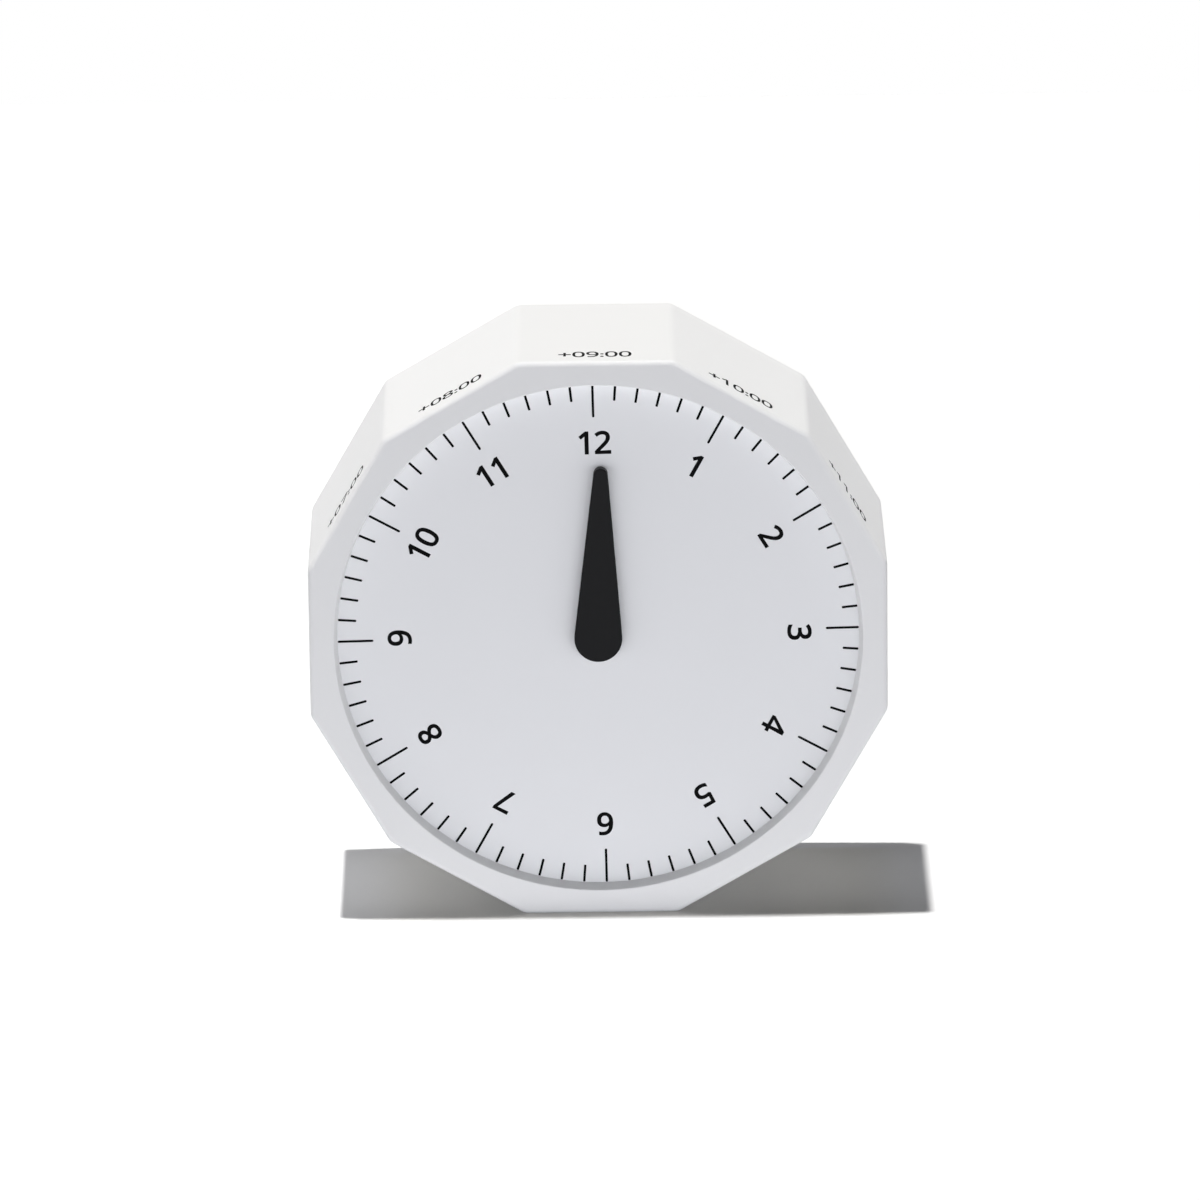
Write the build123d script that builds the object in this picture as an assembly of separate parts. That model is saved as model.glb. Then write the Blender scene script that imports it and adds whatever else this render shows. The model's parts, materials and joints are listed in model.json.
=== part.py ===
from build123d import *
import os
from math import acos, cos, degrees, hypot, pi, radians, sin, tan

# World time clock: a twelve-sided case that is rolled from facet to facet. The dial turns with the case,
# and the one hour hand stays with the room, because its movement hangs on a weighted carriage that swings
# on two ball bearings. Every piece is modelled with the clock lying on its back: x to the right, y towards
# the top facet, z from the back rim to the bezel. standing() then sets it upright, front towards -Y.

# Case
across_flats = 110.0
facet_count = 12
case_wall = 2.6
long_edge_radius = 2.8
rim_radius = 1.0
bezel_width = 4.72
opening_draft = 0.62
opening_edge_radius = 0.25
boss_radius = 1.9
boss_to_wall = 0.3

# Thicknesses from the back rim to the bezel, which add up to the depth of the clock
rear_inset = 0.6
lid_thickness = 2.0
lid_to_knob = 2.0
knob_thickness = 3.2
knob_to_cover = 0.3
movement_cover_thickness = 1.2
chamber_depth = 9.0
movement_floor = 1.2
carriage_thickness = 2.0
carriage_gap = 0.8
seat_tail = 0.8
circlip_thickness = 1.0
bearing_width = 4.0
spacer_width = 2.0
chassis_thickness = 2.5
dial_thickness = 1.5
recess_depth = 2.9

# Clearances
running_clearance = 0.08
loose_clearance = 0.3
sliding_clearance = 0.2
swing_clearance = 3.0

# Dial and hand
dial_overlap = 0.9
hand_base_radius = 4.55
hand_tip_radius = 1.35
hand_length = 33.8
hand_thickness = 1.8
hand_below_bezel = 0.2
hand_edge_radius = 0.3
hand_lean = 1.4
hand_boss_radius = 3.3
hand_boss_length = 2.0
hand_cap = 0.7

# Rear cover and lid
rear_cover_thickness = 2.2
lid_radius = 40.0
lid_wall = 1.5
lid_skirt = 1.1
lid_ledge = 1.2
lid_edge_radius = 0.4
lid_rib_count = 6
lid_rib_radius = 0.6
lid_rib_proud = 0.12
notch_width = 9.6
notch_depth = 1.5

# Ball bearings
bearing_bore = 8.0
bearing_outside = 16.0
ring_thickness = 1.2
ball_radius = 1.2
ball_count = 7
race_clearance = 0.03
cage_clearance = 0.25
cage_width = 1.3
seat_wall = 2.5
seat_lip = 1.0
circlip_depth = 0.7
circlip_width = 1.5
circlip_gap = 5.0
shoulder_lip = 1.0
nut_height = 2.0
nut_across_flats = 10.9

# Chassis
chassis_rim = 6.0
chassis_spoke = 12.0

# Carriage and its weight
carriage_top_radius = 36.0
carriage_margin = 0.6
carriage_half_angle = 58.0
weight_inner_radius = 14.0
weight_half_angle = 50.0
weight_thickness = 10.0
weight_margin = 1.0
weight_edge_radius = 0.8
weight_screw_spread = 17.3
weight_screw_gap = 2.4
trim_hole_radius = 3.89
trim_hole_angle = 35.0

# Movement case and battery
movement_top = 28.0
movement_corner = 3.0
movement_wall = 1.5
cell_radius = 7.1
cell_length = 50.5
cell_button_radius = 2.7
cell_button_length = 1.2
cell_drop = 22.6
contact_thickness = 0.4
contact_width = 9.0
spring_bow = 1.7
movement_post_radius = 2.2
upper_post = (22.0, 22.0)
lower_post = (24.0, -9.5)

# Screws
screw_radius = 0.8
head_radius = 1.6
head_height = 1.0
chassis_screw_length = 5.0
cover_screw_length = 8.0
weight_screw_length = 7.0
motor_screw_length = 5.0
cross_width = 0.45
cross_depth = 0.5

# Going train: hour wheel, setting pinion and wheel, first pinion and wheel, rotor pinion
pressure_angle = 25.0
tooth_share = 0.46
tooth_addendum = 0.8
tooth_dedendum = 1.05
pinion_teeth = 10
hour_teeth = 60
hour_module = 0.4
setting_teeth = 75
setting_module = 0.28
first_teeth = 80
first_module = 0.24
setting_direction = 150.0
first_direction = 45.0
rotor_direction = 0.0
wheel_float = 0.6
wheel_thickness = 1.2
wheel_gap = 1.4
pinion_overhang = 0.3
hour_arbor_radius = 2.5
setting_arbor_radius = 1.2
first_arbor_radius = 0.8
rotor_arbor_radius = 0.6
pivot_share = 0.6
pivot_depth = 0.8
clutch_thickness = 0.3
clutch_radius = 4.5
clutch_leg = 1.6
collar_height = 0.6
collar_radius = 2.0
knob_radius = 5.0
knob_flutes = 12
knob_flute_radius = 0.7
knob_cap = 0.8

# Stepping motor and circuit
magnet_radius = 3.0
magnet_height = 1.8
magnet_gap = 0.5
stator_thickness = 1.0
stator_bar = 5.0
stator_collar = 2.0
stator_left = 4.0
core_thickness = 1.0
core_width = 2.4
core_place = 19.5
core_bottom = -5.0
core_end = 2.0
bobbin_radius = 3.0
bobbin_wall = 0.4
bobbin_flange = 0.8
bobbin_length = 14.0
winding_inset = 0.3
board_thickness = 1.0
board_size = (17.5, 7.0)
board_place = (-12.2, -7.6)
chip_radius = 2.2
chip_height = 0.9
chip_place = -4.5
crystal_radius = 1.0
crystal_length = 6.0
crystal_place = 3.6

# Heights above the back rim
cover_back = rear_inset
cover_front = cover_back + rear_cover_thickness
lid_front = cover_back + lid_thickness
skirt_front = lid_front + lid_skirt
knob_back = lid_front + lid_to_knob
knob_front = knob_back + knob_thickness
movement_back = knob_front + knob_to_cover
chamber_back = movement_back + movement_cover_thickness
chamber_front = chamber_back + chamber_depth
carriage_back = chamber_front + movement_floor
carriage_front = carriage_back + carriage_thickness
seat_back = carriage_front + carriage_gap
circlip_back = seat_back + seat_tail
rear_bearing_back = circlip_back + circlip_thickness
rear_bearing_front = rear_bearing_back + bearing_width
front_bearing_back = rear_bearing_front + spacer_width
chassis_back = front_bearing_back + bearing_width
chassis_front = chassis_back + chassis_thickness
dial_front = chassis_front + dial_thickness
depth = dial_front + recess_depth
hand_front = depth - hand_below_bezel
hand_back = hand_front - hand_thickness

# Radii and places that follow from the sizes above
half_facet = pi / facet_count
apothem = across_flats / 2
inner_apothem = apothem - case_wall
inner_corner = max(long_edge_radius - case_wall, opening_edge_radius)
opening_radius = apothem - bezel_width
sight_radius = opening_radius - opening_draft
boss_pitch = (inner_apothem - boss_radius - boss_to_wall) / cos(half_facet)
boss_reach = boss_pitch - boss_radius
dial_radius = sight_radius + dial_overlap
chassis_radius = boss_reach - loose_clearance
swing_radius = boss_reach - swing_clearance
hub_radius = bearing_bore / 2
seat_radius = bearing_outside / 2
ball_pitch = (hub_radius + seat_radius) / 2
inner_ring_radius = hub_radius + ring_thickness
outer_ring_bore = seat_radius - ring_thickness
carriage_radius = swing_radius - carriage_margin
weight_radius = swing_radius - weight_margin
bay_half = cell_radius + loose_clearance
movement_half_width = (cell_length + spring_bow) / 2 + contact_thickness + movement_wall
bay_top = bay_half - cell_drop
bay_bottom = -cell_drop - bay_half
divider_top = bay_top + movement_wall
movement_bottom = bay_bottom - movement_wall
bay_end = movement_half_width - movement_wall
cell_height = chamber_front - sliding_clearance - cell_radius
rear_opening = lid_radius + sliding_clearance


def polar(radius, angle):
    """A point at a radius and an angle, anticlockwise from the right as seen from the front."""
    return (radius * cos(radians(angle)), radius * sin(radians(angle)))


def disc(radius, low, high, at=(0, 0)):
    """A cylinder along the clock's axis, between two heights."""
    cylinder = Cylinder(radius, high - low, align=(Align.CENTER, Align.CENTER, Align.MIN))
    return Pos(at[0], at[1], low) * cylinder


def ring(outer, inner, low, high, at=(0, 0)):
    """A plain washer shape."""
    return disc(outer, low, high, at) - disc(inner, low, high, at)


def slab(sketch, low, high):
    """A flat outline given a thickness between two heights."""
    return Pos(0, 0, low) * extrude(sketch, high - low)


def block(left, right, bottom, top, low, high):
    """A rectangular block given by its sides."""
    middle = Pos((left + right) / 2, (bottom + top) / 2)
    return slab(middle * Rectangle(right - left, top - bottom), low, high)


def facets(flat_distance, corner):
    """The case's twelve-sided outline, flat at top and bottom, with rounded corners."""
    half_turn = degrees(half_facet)
    outline = RegularPolygon(flat_distance, facet_count, major_radius=False, rotation=half_turn)
    return fillet(outline.vertices(), corner)


def screw(at, seat, tip):
    """A pan-head screw: its head stands behind the seat, and its shank points forward."""
    head_back = seat - head_height
    piece = disc(screw_radius, seat, tip, at) + disc(head_radius, head_back, seat, at)
    return piece - crossed_slot(at, head_back)


def countersunk_screw(at, face, tip):
    """A flat-head screw, flush with a face that looks to the back."""
    head = Pos(at[0], at[1], face + head_height / 2) * Cone(head_radius, screw_radius, head_height)
    piece = head + disc(screw_radius, face + head_height, tip, at)
    return piece - crossed_slot(at, face)


def crossed_slot(at, back):
    """The recess for a cross-head driver."""
    bar = Rectangle(2 * screw_radius, cross_width) + Rectangle(cross_width, 2 * screw_radius)
    return slab(Pos(at[0], at[1]) * bar, back, back + cross_depth)


def every_third_corner(first):
    """The angles of every third corner of the case, anticlockwise from the first."""
    return [degrees(half_facet) * (2 * corner + 1) for corner in range(first, facet_count, 3)]


def corner_points(corners):
    """The screw places in the case's corners."""
    return [polar(boss_pitch, corner) for corner in corners]


def corner_boss(corner, low, high):
    """A screw boss, with a web that runs out into the corner of the case."""
    web_end = apothem / cos(half_facet) - case_wall
    web = Pos((boss_pitch + web_end) / 2, 0) * Rectangle(web_end - boss_pitch, 2 * boss_radius)
    outline = Pos(boss_pitch, 0) * Circle(boss_radius) + web
    return slab(Rot(0, 0, corner) * outline, low, high)


chassis_boss_corners = every_third_corner(0)
cover_boss_corners = every_third_corner(1)


def front_housing():
    shell = slab(facets(apothem, long_edge_radius), 0, depth)
    rims = shell.edges().group_by(Axis.Z)[0] + shell.edges().group_by(Axis.Z)[-1]
    shell = fillet(rims, rim_radius)
    shell -= slab(facets(inner_apothem, inner_corner), 0, dial_front)
    shell -= Pos(0, 0, depth - recess_depth / 2) * Cone(sight_radius, opening_radius, recess_depth)
    mouth = shell.edges().filter_by(GeomType.CIRCLE).sort_by(SortBy.RADIUS)[-1]
    shell = fillet(mouth, opening_edge_radius)
    for corner in chassis_boss_corners:
        shell += corner_boss(corner, chassis_front, dial_front)
    for corner in cover_boss_corners:
        shell += corner_boss(corner, cover_front, dial_front)
    for at in corner_points(chassis_boss_corners):
        shell -= disc(screw_radius, chassis_front, chassis_back + chassis_screw_length, at)
    for at in corner_points(cover_boss_corners):
        shell -= disc(screw_radius, cover_front, cover_back + cover_screw_length, at)
    return shell


def dial():
    face = disc(dial_radius, chassis_front, dial_front)
    face -= disc(hand_boss_radius + loose_clearance, chassis_front, dial_front)
    for at in corner_points(chassis_boss_corners + cover_boss_corners):
        face -= disc(boss_radius + loose_clearance, chassis_front, dial_front, at)
    return face


def chassis_plate():
    outline = Circle(chassis_radius) - Circle(chassis_radius - chassis_rim)
    outline += Circle(seat_radius + seat_wall + chassis_rim)
    for corner in chassis_boss_corners:
        spoke = Pos(chassis_radius / 2, 0) * Rectangle(chassis_radius - chassis_rim, chassis_spoke)
        ear = Pos(boss_pitch, 0) * Circle(boss_radius)
        ear += Pos(boss_pitch - chassis_rim / 2, 0) * Rectangle(chassis_rim, 2 * boss_radius)
        outline += Rot(0, 0, corner) * (spoke + ear)
    plate = slab(outline, chassis_back, chassis_front)
    plate += disc(seat_radius + seat_wall, seat_back, chassis_back)
    plate -= disc(seat_radius, seat_back, chassis_back)
    plate -= disc(seat_radius + circlip_depth, circlip_back, rear_bearing_back)
    plate -= disc(seat_radius - seat_lip, chassis_back, chassis_front)
    for at in corner_points(chassis_boss_corners):
        plate -= disc(screw_radius, chassis_back, chassis_front, at)
    return plate


def chassis_screws():
    places = corner_points(chassis_boss_corners)
    return [screw(at, chassis_back, chassis_back + chassis_screw_length) for at in places]


def rear_cover():
    plate = slab(facets(inner_apothem - sliding_clearance, inner_corner), cover_back, cover_front)
    plate += disc(rear_opening + lid_wall, cover_front, skirt_front + lid_ledge)
    plate -= disc(rear_opening, cover_back, skirt_front)
    plate -= disc(rear_opening - lid_wall, skirt_front, skirt_front + lid_ledge)
    countersink = Cone(head_radius, screw_radius, head_height)
    for at in corner_points(cover_boss_corners):
        plate -= Pos(at[0], at[1], cover_back + head_height / 2) * countersink
        plate -= disc(screw_radius, cover_back + head_height, cover_front, at)
    scoop_radius = (notch_width**2 / 4 + notch_depth**2) / (2 * notch_depth)
    scoop = Pos(0, -rear_opening - lid_wall, cover_back + notch_depth - scoop_radius) * Sphere(scoop_radius)
    return plate - scoop


def rear_cover_screws():
    places = corner_points(cover_boss_corners)
    return [countersunk_screw(at, cover_back, cover_back + cover_screw_length) for at in places]


def back_lid():
    lid = disc(lid_radius, cover_back, skirt_front)
    lid = fillet(lid.edges().group_by(Axis.Z)[0], lid_edge_radius)
    lid -= disc(lid_radius - lid_wall, lid_front, skirt_front)
    rib_pitch = lid_radius - lid_rib_radius + lid_rib_proud
    for index in range(lid_rib_count):
        at = polar(rib_pitch, 90 + (index + 0.5) * 360 / lid_rib_count)
        lid += disc(lid_rib_radius, lid_front, skirt_front, at)
    return lid


def bearing_outer_ring(back):
    race = Pos(0, 0, back + bearing_width / 2) * Torus(ball_pitch, ball_radius + race_clearance)
    return ring(seat_radius, outer_ring_bore, back, back + bearing_width) - race


def bearing_inner_ring(back):
    race = Pos(0, 0, back + bearing_width / 2) * Torus(ball_pitch, ball_radius + race_clearance)
    return ring(inner_ring_radius, hub_radius, back, back + bearing_width) - race


def ball_places(back):
    """The balls' centres, evenly spaced round the race."""
    points = [polar(ball_pitch, 90 + index * 360 / ball_count) for index in range(ball_count)]
    return [Pos(at[0], at[1], back + bearing_width / 2) for at in points]


def bearing_balls(back):
    return [place * Sphere(ball_radius) for place in ball_places(back)]


def bearing_cage(back):
    middle = back + bearing_width / 2
    outer = outer_ring_bore - cage_clearance
    crown = ring(outer, inner_ring_radius + cage_clearance, middle + race_clearance, middle + cage_width)
    pocket = ball_radius + race_clearance
    for place in ball_places(back):
        crown -= place * Sphere(pocket)
    return crown


def bearing_outer_spacer():
    return ring(seat_radius, outer_ring_bore, rear_bearing_front, front_bearing_back)


def bearing_inner_spacer():
    return ring(inner_ring_radius, hub_radius, rear_bearing_front, front_bearing_back)


def bearing_circlip():
    outer = seat_radius + circlip_depth
    clip = ring(outer, outer - circlip_width, circlip_back, rear_bearing_back)
    return clip - block(-circlip_gap / 2, circlip_gap / 2, 0, 2 * outer, circlip_back, rear_bearing_back)


def carriage_outline():
    """A pear shape: round at the top, and wide at the bottom, where the weight is."""
    low_arc = CenterArc((0, 0), carriage_radius, 270 - carriage_half_angle, 2 * carriage_half_angle)
    return make_hull(Circle(carriage_top_radius).edges() + low_arc.edges())


def weight_screw_places():
    drop = movement_bottom - head_radius - weight_screw_gap
    return [(side * weight_screw_spread, drop) for side in (-1, 1)]


def movement_post_places():
    return [(side * x, y) for x, y in (upper_post, lower_post) for side in (-1, 1)]


def carriage_plate():
    plate = slab(carriage_outline(), carriage_back, carriage_front)
    plate += disc(hub_radius + shoulder_lip, carriage_front, rear_bearing_back)
    plate += disc(hub_radius, rear_bearing_back, chassis_back + nut_height)
    plate -= disc(hour_arbor_radius + running_clearance, carriage_back, chassis_back + nut_height)
    for at in weight_screw_places() + movement_post_places():
        plate -= disc(screw_radius, carriage_back, carriage_front, at)
    return plate


def hub_nut():
    outline = RegularPolygon(nut_across_flats / 2, 6, major_radius=False) - Circle(hub_radius)
    return slab(outline, chassis_back, chassis_back + nut_height)


def balance_weight():
    front = carriage_front + weight_thickness
    wedge_reach = 2 * weight_radius
    wedge = Polygon(
        (0, 0),
        polar(wedge_reach, 270 - weight_half_angle),
        (0, -2 * wedge_reach),
        polar(wedge_reach, 270 + weight_half_angle),
        align=None,
    )
    outline = (Circle(weight_radius) - Circle(weight_inner_radius)) & wedge
    weight = slab(outline, carriage_front, front)
    weight = fillet(weight.edges().group_by(Axis.Z)[-1], weight_edge_radius)
    for at in weight_screw_places():
        weight -= disc(screw_radius, carriage_front, carriage_back + weight_screw_length, at)
    trim_hole = polar((weight_inner_radius + weight_radius) / 2, 270 + trim_hole_angle)
    return weight - disc(trim_hole_radius, carriage_front, front, trim_hole)


def weight_screws():
    return [screw(at, carriage_back, carriage_back + weight_screw_length) for at in weight_screw_places()]


def movement_outline(bottom):
    """The movement's rounded rectangle, from its top down to a bottom edge."""
    middle = Pos(0, (movement_top + bottom) / 2)
    outline = middle * Rectangle(2 * movement_half_width, movement_top - bottom)
    return fillet(outline.vertices(), movement_corner)


def level_front(level):
    """The front of a wheel: level 0 is the hour wheel, 1 the setting wheel, 2 the first wheel."""
    return chamber_front - wheel_float - level * (wheel_thickness + wheel_gap)


def level_back(level):
    return level_front(level) - wheel_thickness


def gear_outline(teeth, module, turn):
    """A gear of straight-flanked involute teeth, one of them centred on the angle turn."""
    pitch_radius = teeth * module / 2
    base_radius = pitch_radius * cos(radians(pressure_angle))
    tip = pitch_radius + tooth_addendum * module
    root = pitch_radius - tooth_dedendum * module

    def half_tooth(radius):
        slope = acos(base_radius / max(radius, base_radius))
        at_pitch = radians(pressure_angle)
        return tooth_share * pi / teeth + (tan(at_pitch) - at_pitch) - (tan(slope) - slope)

    points = []
    for index in range(teeth):
        middle = turn + index * 2 * pi / teeth
        for radius, side in ((root, -1), (tip, -1), (tip, 1), (root, 1)):
            angle = middle + side * half_tooth(radius)
            points.append((radius * cos(angle), radius * sin(angle)))
    return make_face(Polyline(*points, close=True))


def meshing_turn(driver_teeth, driver_turn, driven_teeth, direction):
    """The turn that puts a driven gear's gap on the driver's tooth along the line between their centres."""
    offset = (driver_turn - radians(direction)) * driver_teeth / (2 * pi)
    return radians(direction) + pi + (0.5 - offset) * 2 * pi / driven_teeth


def pinion(teeth_turn, module, level, at):
    """A pinion a little longer than the wheel that it meshes with."""
    low = level_back(level) - pinion_overhang
    high = level_front(level) + pinion_overhang
    return slab(Pos(at[0], at[1]) * gear_outline(pinion_teeth, module, teeth_turn), low, high)


def wheel(teeth, module, level, at, bore):
    """A wheel with its bore."""
    outline = gear_outline(teeth, module, 0) - Circle(bore)
    return slab(Pos(at[0], at[1]) * outline, level_back(level), level_front(level))


def pivoted_arbor(radius, at):
    """An arbor with a thin pivot at each end, between the floor and the cover of the movement."""
    pivot = radius * pivot_share
    shaft = disc(radius, chamber_back + loose_clearance, chamber_front - loose_clearance, at)
    return shaft + disc(pivot, chamber_back - pivot_depth, chamber_front + pivot_depth, at)


def front_pivot_hole(radius, at):
    """The blind bearing hole of a pivot in the movement's floor."""
    reach = pivot_depth + running_clearance
    return disc(radius * pivot_share + running_clearance, chamber_front, chamber_front + reach, at)


def rear_pivot_hole(radius, at):
    """The blind bearing hole of a pivot in the movement's cover."""
    reach = pivot_depth + running_clearance
    return disc(radius * pivot_share + running_clearance, chamber_back - reach, chamber_back, at)


# Centres and turns of the going train
hour_distance = hour_module * (hour_teeth + pinion_teeth) / 2
setting_distance = setting_module * (setting_teeth + pinion_teeth) / 2
first_distance = first_module * (first_teeth + pinion_teeth) / 2
hour_place = (0, 0)
setting_place = polar(hour_distance, setting_direction)
first_step = polar(setting_distance, first_direction)
first_place = (setting_place[0] + first_step[0], setting_place[1] + first_step[1])
rotor_step = polar(first_distance, rotor_direction)
rotor_place = (first_place[0] + rotor_step[0], first_place[1] + rotor_step[1])
setting_turn = meshing_turn(hour_teeth, 0, pinion_teeth, setting_direction)
first_turn = meshing_turn(setting_teeth, 0, pinion_teeth, first_direction)
rotor_turn = meshing_turn(first_teeth, 0, pinion_teeth, rotor_direction)

# Places of the motor, whose stator lies level with the setting wheel
magnet_middle = (level_front(1) + level_back(1)) / 2
stator_front = magnet_middle + stator_thickness / 2
stator_back = magnet_middle - stator_thickness / 2
core_back = stator_back - core_thickness
coil_middle = stator_back - core_thickness / 2
core_ends = ((core_place, core_bottom), (core_place, rotor_place[1]))
bobbin_middle = (core_bottom + rotor_place[1]) / 2
bobbin_tube = hypot(core_width / 2, core_thickness / 2) + running_clearance + bobbin_wall
board_front = chamber_back + board_thickness


def movement_base():
    base = slab(movement_outline(movement_bottom), chamber_back, carriage_back)
    inner_top = movement_top - movement_wall
    base -= block(-bay_end, bay_end, divider_top, inner_top, chamber_back, chamber_front)
    base -= block(-bay_end, bay_end, bay_bottom, bay_top, chamber_back, chamber_front)
    for at in movement_post_places():
        base += disc(movement_post_radius, chamber_back, chamber_front, at)
        base -= disc(screw_radius, chamber_back, carriage_back, at)
    for at in core_ends:
        base += disc(core_end, stator_front, chamber_front, at)
        base -= disc(screw_radius, stator_front, core_back + motor_screw_length, at)
    base -= disc(hour_arbor_radius + loose_clearance, chamber_front, carriage_back)
    base -= front_pivot_hole(setting_arbor_radius, setting_place)
    base -= front_pivot_hole(first_arbor_radius, first_place)
    base -= front_pivot_hole(rotor_arbor_radius, rotor_place)
    finger_cut = Rot(90, 0, 0) * Cylinder(bay_half, 2 * movement_wall)
    return base - Pos(0, movement_bottom, chamber_back) * finger_cut


def movement_cover():
    cover = slab(movement_outline(divider_top - movement_wall), movement_back, chamber_back)
    cover = fillet(cover.edges().group_by(Axis.Z)[0], loose_clearance)
    cover -= disc(setting_arbor_radius + running_clearance, movement_back, chamber_back, setting_place)
    for at in movement_post_places():
        cover -= disc(screw_radius, movement_back, chamber_back, at)
    cover -= rear_pivot_hole(hour_arbor_radius, hour_place)
    cover -= rear_pivot_hole(first_arbor_radius, first_place)
    cover -= rear_pivot_hole(rotor_arbor_radius, rotor_place)
    return cover


def movement_screws():
    return [screw(at, movement_back, carriage_front) for at in movement_post_places()]


def battery():
    end = bay_end - contact_thickness
    can_length = cell_length - cell_button_length
    can = Cylinder(cell_radius, can_length, align=(Align.CENTER, Align.CENTER, Align.MAX))
    can = fillet(can.edges().filter_by(GeomType.CIRCLE), loose_clearance)
    button = Cylinder(cell_button_radius, cell_button_length, align=(Align.CENTER, Align.CENTER, Align.MIN))
    return Pos(end - cell_button_length, -cell_drop, cell_height) * Rot(0, 90, 0) * (can + button)


def contact_plate(side):
    """The flat part of a battery contact, against the end wall of the bay."""
    left = min(side * bay_end, side * (bay_end - contact_thickness))
    low = -cell_drop - contact_width / 2
    return block(left, left + contact_thickness, low, low + contact_width, chamber_back, chamber_front)


def positive_contact():
    return contact_plate(1)


def negative_contact():
    """The plate and the bowed leaf that presses on the flat end of the cell."""
    half = contact_width / 2
    plate_face = contact_thickness - bay_end
    bow_radius = (half**2 + spring_bow**2) / (2 * spring_bow)
    leaf = Circle(bow_radius) - Circle(bow_radius - contact_thickness)
    leaf = Pos(plate_face + spring_bow - bow_radius, -cell_drop) * leaf
    leaf &= Pos(plate_face + spring_bow / 2, -cell_drop) * Rectangle(spring_bow, contact_width)
    return contact_plate(-1) + slab(leaf, chamber_back, cell_height + half / 2)


def stator():
    low = core_bottom - stator_bar / 2
    right = core_place + core_end
    bars = Pos((stator_left + right) / 2, core_bottom) * Rectangle(right - stator_left, stator_bar)
    bars += Pos((stator_left + right) / 2, rotor_place[1]) * Rectangle(right - stator_left, stator_bar)
    leg_height = rotor_place[1] - low
    bars += Pos(stator_left + stator_bar / 2, low + leg_height / 2) * Rectangle(stator_bar, leg_height)
    bore = magnet_radius + magnet_gap
    bars += Pos(rotor_place[0], rotor_place[1]) * Circle(bore + stator_collar)
    bars -= Pos(rotor_place[0], rotor_place[1]) * Circle(bore)
    for at in core_ends:
        bars -= Pos(at[0], at[1]) * Circle(screw_radius)
    return slab(bars, stator_back, stator_front)


def coil_core():
    bar = Pos(core_place, bobbin_middle) * Rectangle(core_width, rotor_place[1] - core_bottom)
    for at in core_ends:
        bar += Pos(at[0], at[1]) * Circle(core_end)
    for at in core_ends:
        bar -= Pos(at[0], at[1]) * Circle(screw_radius)
    return slab(bar, core_back, stator_back)


def along_core(radius, length, middle=0):
    """A cylinder round the core, its middle given along the core from the bobbin's own."""
    return Pos(core_place, bobbin_middle + middle, coil_middle) * Rot(90, 0, 0) * Cylinder(radius, length)


def coil_bobbin():
    bobbin = along_core(bobbin_tube, bobbin_length)
    for side in (-1, 1):
        bobbin += along_core(bobbin_radius, bobbin_flange, side * (bobbin_length - bobbin_flange) / 2)
    half_width = core_width / 2 + running_clearance
    half_height = core_thickness / 2 + running_clearance
    slot = Box(2 * half_width, bobbin_length, 2 * half_height)
    return bobbin - Pos(core_place, bobbin_middle, coil_middle) * slot


def coil_winding():
    length = bobbin_length - 2 * bobbin_flange
    return along_core(bobbin_radius - winding_inset, length) - along_core(bobbin_tube, length)


def motor_screws():
    return [screw(at, core_back, core_back + motor_screw_length) for at in core_ends]


def circuit_board():
    board = Pos(board_place[0], board_place[1]) * Rectangle(board_size[0], board_size[1])
    return slab(board, chamber_back, board_front)


def timing_chip():
    at = (board_place[0] + chip_place, board_place[1])
    blob = disc(chip_radius, board_front, board_front + chip_height, at)
    return fillet(blob.edges().group_by(Axis.Z)[-1], chip_height / 2)


def quartz_crystal():
    middle = Pos(board_place[0] + crystal_place, board_place[1], board_front + crystal_radius)
    return middle * Rot(0, 90, 0) * Cylinder(crystal_radius, crystal_length)


def hour_hand():
    tip = Pos(0, hand_length - hand_tip_radius) * Circle(hand_tip_radius)
    outline = make_hull(Circle(hand_base_radius).edges() + tip.edges())
    hand = slab(Rot(0, 0, -hand_lean) * outline, hand_back, hand_front)
    hand = fillet(hand.edges().group_by(Axis.Z)[-1], hand_edge_radius)
    hand += disc(hand_boss_radius, hand_back - hand_boss_length, hand_back)
    return hand - disc(hour_arbor_radius, hand_back - hand_boss_length, hand_front - hand_cap)


def hour_arbor():
    shaft = disc(hour_arbor_radius, level_back(0), hand_front - hand_cap)
    return shaft + disc(hour_arbor_radius * pivot_share, chamber_back - pivot_depth, level_back(0))


def hour_wheel():
    return wheel(hour_teeth, hour_module, 0, hour_place, hour_arbor_radius)


def setting_arbor():
    pivot = setting_arbor_radius * pivot_share
    arbor = disc(setting_arbor_radius, knob_back + knob_cap, chamber_front - loose_clearance, setting_place)
    arbor += disc(pivot, chamber_front - loose_clearance, chamber_front + pivot_depth, setting_place)
    arbor += pinion(setting_turn, hour_module, 0, setting_place)
    collar_front = level_back(1) - clutch_thickness
    return arbor + disc(collar_radius, collar_front - collar_height, collar_front, setting_place)


def setting_wheel():
    return wheel(setting_teeth, setting_module, 1, setting_place, setting_arbor_radius)


def clutch_spring():
    """A three-legged friction spring between the setting wheel and the arbor's collar."""
    star = Circle(collar_radius)
    for index in range(3):
        star += Rot(0, 0, index * 120) * Pos(clutch_radius / 2, 0) * Rectangle(clutch_radius, clutch_leg)
    star -= Circle(setting_arbor_radius)
    back = level_back(1) - clutch_thickness
    return slab(Pos(setting_place[0], setting_place[1]) * star, back, level_back(1))


def setting_knob():
    outline = Circle(knob_radius)
    for index in range(knob_flutes):
        at = polar(knob_radius, index * 360 / knob_flutes)
        outline -= Pos(at[0], at[1]) * Circle(knob_flute_radius)
    knob = slab(Pos(setting_place[0], setting_place[1]) * outline, knob_back, knob_front)
    return knob - disc(setting_arbor_radius, knob_back + knob_cap, knob_front, setting_place)


def first_wheel():
    return wheel(first_teeth, first_module, 2, first_place, first_arbor_radius)


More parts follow.
